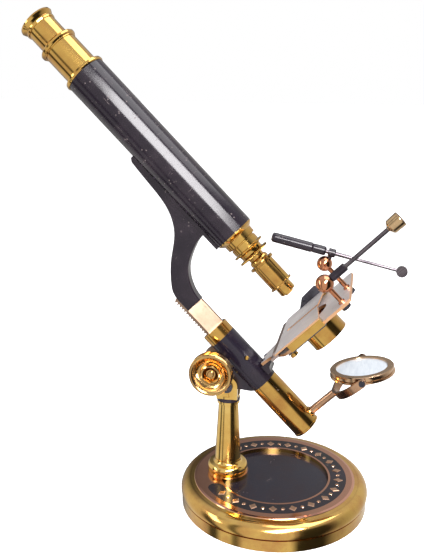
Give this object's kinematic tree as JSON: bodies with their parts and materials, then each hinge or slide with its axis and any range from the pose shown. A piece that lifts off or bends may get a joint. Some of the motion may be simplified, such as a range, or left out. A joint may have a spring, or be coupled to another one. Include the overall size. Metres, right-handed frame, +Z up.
{
  "type": "microscope",
  "caption": "Brass and black-japanned compound monocular microscope on a round foot, with an inclining limb, rack focusing, stage, tilting mirror and two specimen holders.",
  "frame": {"origin": "centre of the foot's underside", "axes": "+Z up, +X towards the stage and mirror, -Y the side of the focusing knob; the optical axis lies in the plane y = 0"},
  "size_m": [0.2879, 0.1476, 0.375],
  "materials": {
    "brass": "polished, lacquered and worn",
    "black_japan": "black japan enamel, gloss with scratches",
    "dark_disc": "dark slate-black enamel",
    "bar_metal": "bare bronze, brushed",
    "stage_metal": "silvered brass, worn",
    "ledge_metal": "tarnished bronze",
    "copper_brass": "red brass, polished",
    "dark_steel": "blued steel",
    "lens_glass": "clear",
    "mirror_glass": "silvered glass"
  },
  "bodies": {
    "base": {"foot": "brass", "foot_band": "black_japan", "foot_disc": "dark_disc", "pillar": "brass", "pillar_nut": "brass", "pillar_collar": "black_japan", "joint_head": "brass", "joint_bolt": "dark_steel"},
    "limb": {"limb_socket": "black_japan", "limb_collar": "brass", "pinion_housing": "bar_metal", "tail_tube": "brass", "mirror_bush": "brass", "socket_screw": "brass", "stage_plate": "stage_metal", "stage_bracket": "black_japan", "ledge_bar": "ledge_metal", "substage_tube": "brass"},
    "pinion_body": {"pinion": "brass", "pinion_shaft": "brass", "focus_knob": "brass"},
    "slide": {"slide_bar": "bar_metal", "rack": "bar_metal", "arm": "black_japan", "tube_saddle": "black_japan", "body_tube": "black_japan", "tube_top_ring": "brass", "draw_tube_guide": "brass", "nosepiece": "brass"},
    "focus_ring": {"focus_collar": "brass"},
    "nose": {"nose_slider": "brass", "objective_flange": "brass", "objective_barrel": "brass", "objective_tip": "brass", "objective_lens": "lens_glass"},
    "draw": {"draw_tube": "brass", "draw_tube_head": "brass"},
    "eyepiece": {"eyepiece_tube": "brass", "eyepiece_cap": "brass", "eye_lens": "lens_glass", "field_lens": "lens_glass"},
    "carriage": {"stage_carriage": "stage_metal", "carriage_flanges": "brass", "friction_spring": "dark_steel", "slide_clip": "dark_steel"},
    "clamp_screw": {"thumb_screw": "brass"},
    "fork": {"mirror_fork": "copper_brass", "fork_screws": "dark_steel"},
    "mirror": {"mirror_frame": "brass", "mirror_glass": "mirror_glass"},
    "near_post": {"near_ball_post": "copper_brass", "near_post_nut": "dark_steel", "cup_sleeve": "black_japan"},
    "cup": {"cup_rod": "dark_steel", "cork_cup": "brass"},
    "far_post": {"far_ball_post": "copper_brass", "far_post_nut": "dark_steel", "forceps_collar": "black_japan"},
    "forceps": {"forceps_handle": "black_japan", "forceps_rod": "dark_steel"}
  },
  "joints": [
    {"name": "inclination", "type": "hinge", "parent": "base", "child": "limb", "pos_m": [-0.0378, 0, 0.0945], "axis": [0, 1, 0], "range_deg": [-45, 27]},
    {"name": "coarse_focus", "type": "slide", "parent": "limb", "child": "slide", "axis": [0.7046, 0, -0.7096], "range_m": [-0.04, 0.0165]},
    {"name": "knob_turn", "type": "hinge", "parent": "limb", "child": "pinion_body", "pos_m": [-0.04622, 0, 0.11204], "axis": [0, 1, 0], "range_deg": [-262, 109]},
    {"name": "fine_focus_turn", "type": "hinge", "parent": "slide", "child": "focus_ring", "pos_m": [-0.02237, 0, 0.20113], "axis": [0.7046, 0, -0.7096], "range_deg": [-726, 726]},
    {"name": "fine_focus_slide", "type": "slide", "parent": "slide", "child": "nose", "axis": [0.7046, 0, -0.7096], "range_m": [-0.001, 0.001]},
    {"name": "draw_tube_slide", "type": "slide", "parent": "slide", "child": "draw", "axis": [-0.7046, 0, 0.7096], "range_m": [-0.0235, 0.045]},
    {"name": "eyepiece_slide", "type": "slide", "parent": "draw", "child": "eyepiece", "axis": [-0.7046, 0, 0.7096], "range_m": [-0.0145, 0.03]},
    {"name": "carriage_slide", "type": "slide", "parent": "limb", "child": "carriage", "axis": [0.7096, 0, 0.7046], "range_m": [0, 0.011]},
    {"name": "clamp_screw_turn", "type": "hinge", "parent": "carriage", "child": "clamp_screw", "pos_m": [0.01559, -0.0397, 0.13736], "axis": [0.7046, 0, -0.7096], "range_deg": [-180, 180]},
    {"name": "fork_swivel", "type": "hinge", "parent": "limb", "child": "fork", "pos_m": [0.03606, 0, 0.08552], "axis": [0.7096, 0, 0.7046], "range_deg": [-90, 90]},
    {"name": "mirror_tilt", "type": "hinge", "parent": "fork", "child": "mirror", "pos_m": [0.06444, 0, 0.11371], "axis": [0, 1, 0], "continuous": true},
    {"name": "near_post_swivel", "type": "hinge", "parent": "limb", "child": "near_post", "pos_m": [0.04367, -0.034, 0.17933], "axis": [0.7046, 0, -0.7096], "range_deg": [-35, 60]},
    {"name": "cup_slide", "type": "slide", "parent": "near_post", "child": "cup", "axis": [0.7096, 0, 0.7046], "range_m": [0, 0.008]},
    {"name": "far_post_swivel", "type": "hinge", "parent": "limb", "child": "far_post", "pos_m": [0.04601, -0.002, 0.18166], "axis": [0.7046, 0, -0.7096], "range_deg": [-50, 50]},
    {"name": "forceps_spin", "type": "hinge", "parent": "far_post", "child": "forceps", "pos_m": [0.03498, -0.002, 0.20376], "axis": [0.9759, 0, -0.2181], "continuous": true}
  ],
  "couplings": [
    {"joint": "knob_turn", "follows": "coarse_focus", "rad_per_m": 113.64},
    {"joint": "fine_focus_turn", "follows": "fine_focus_slide", "rad_per_m": 12566}
  ]
}
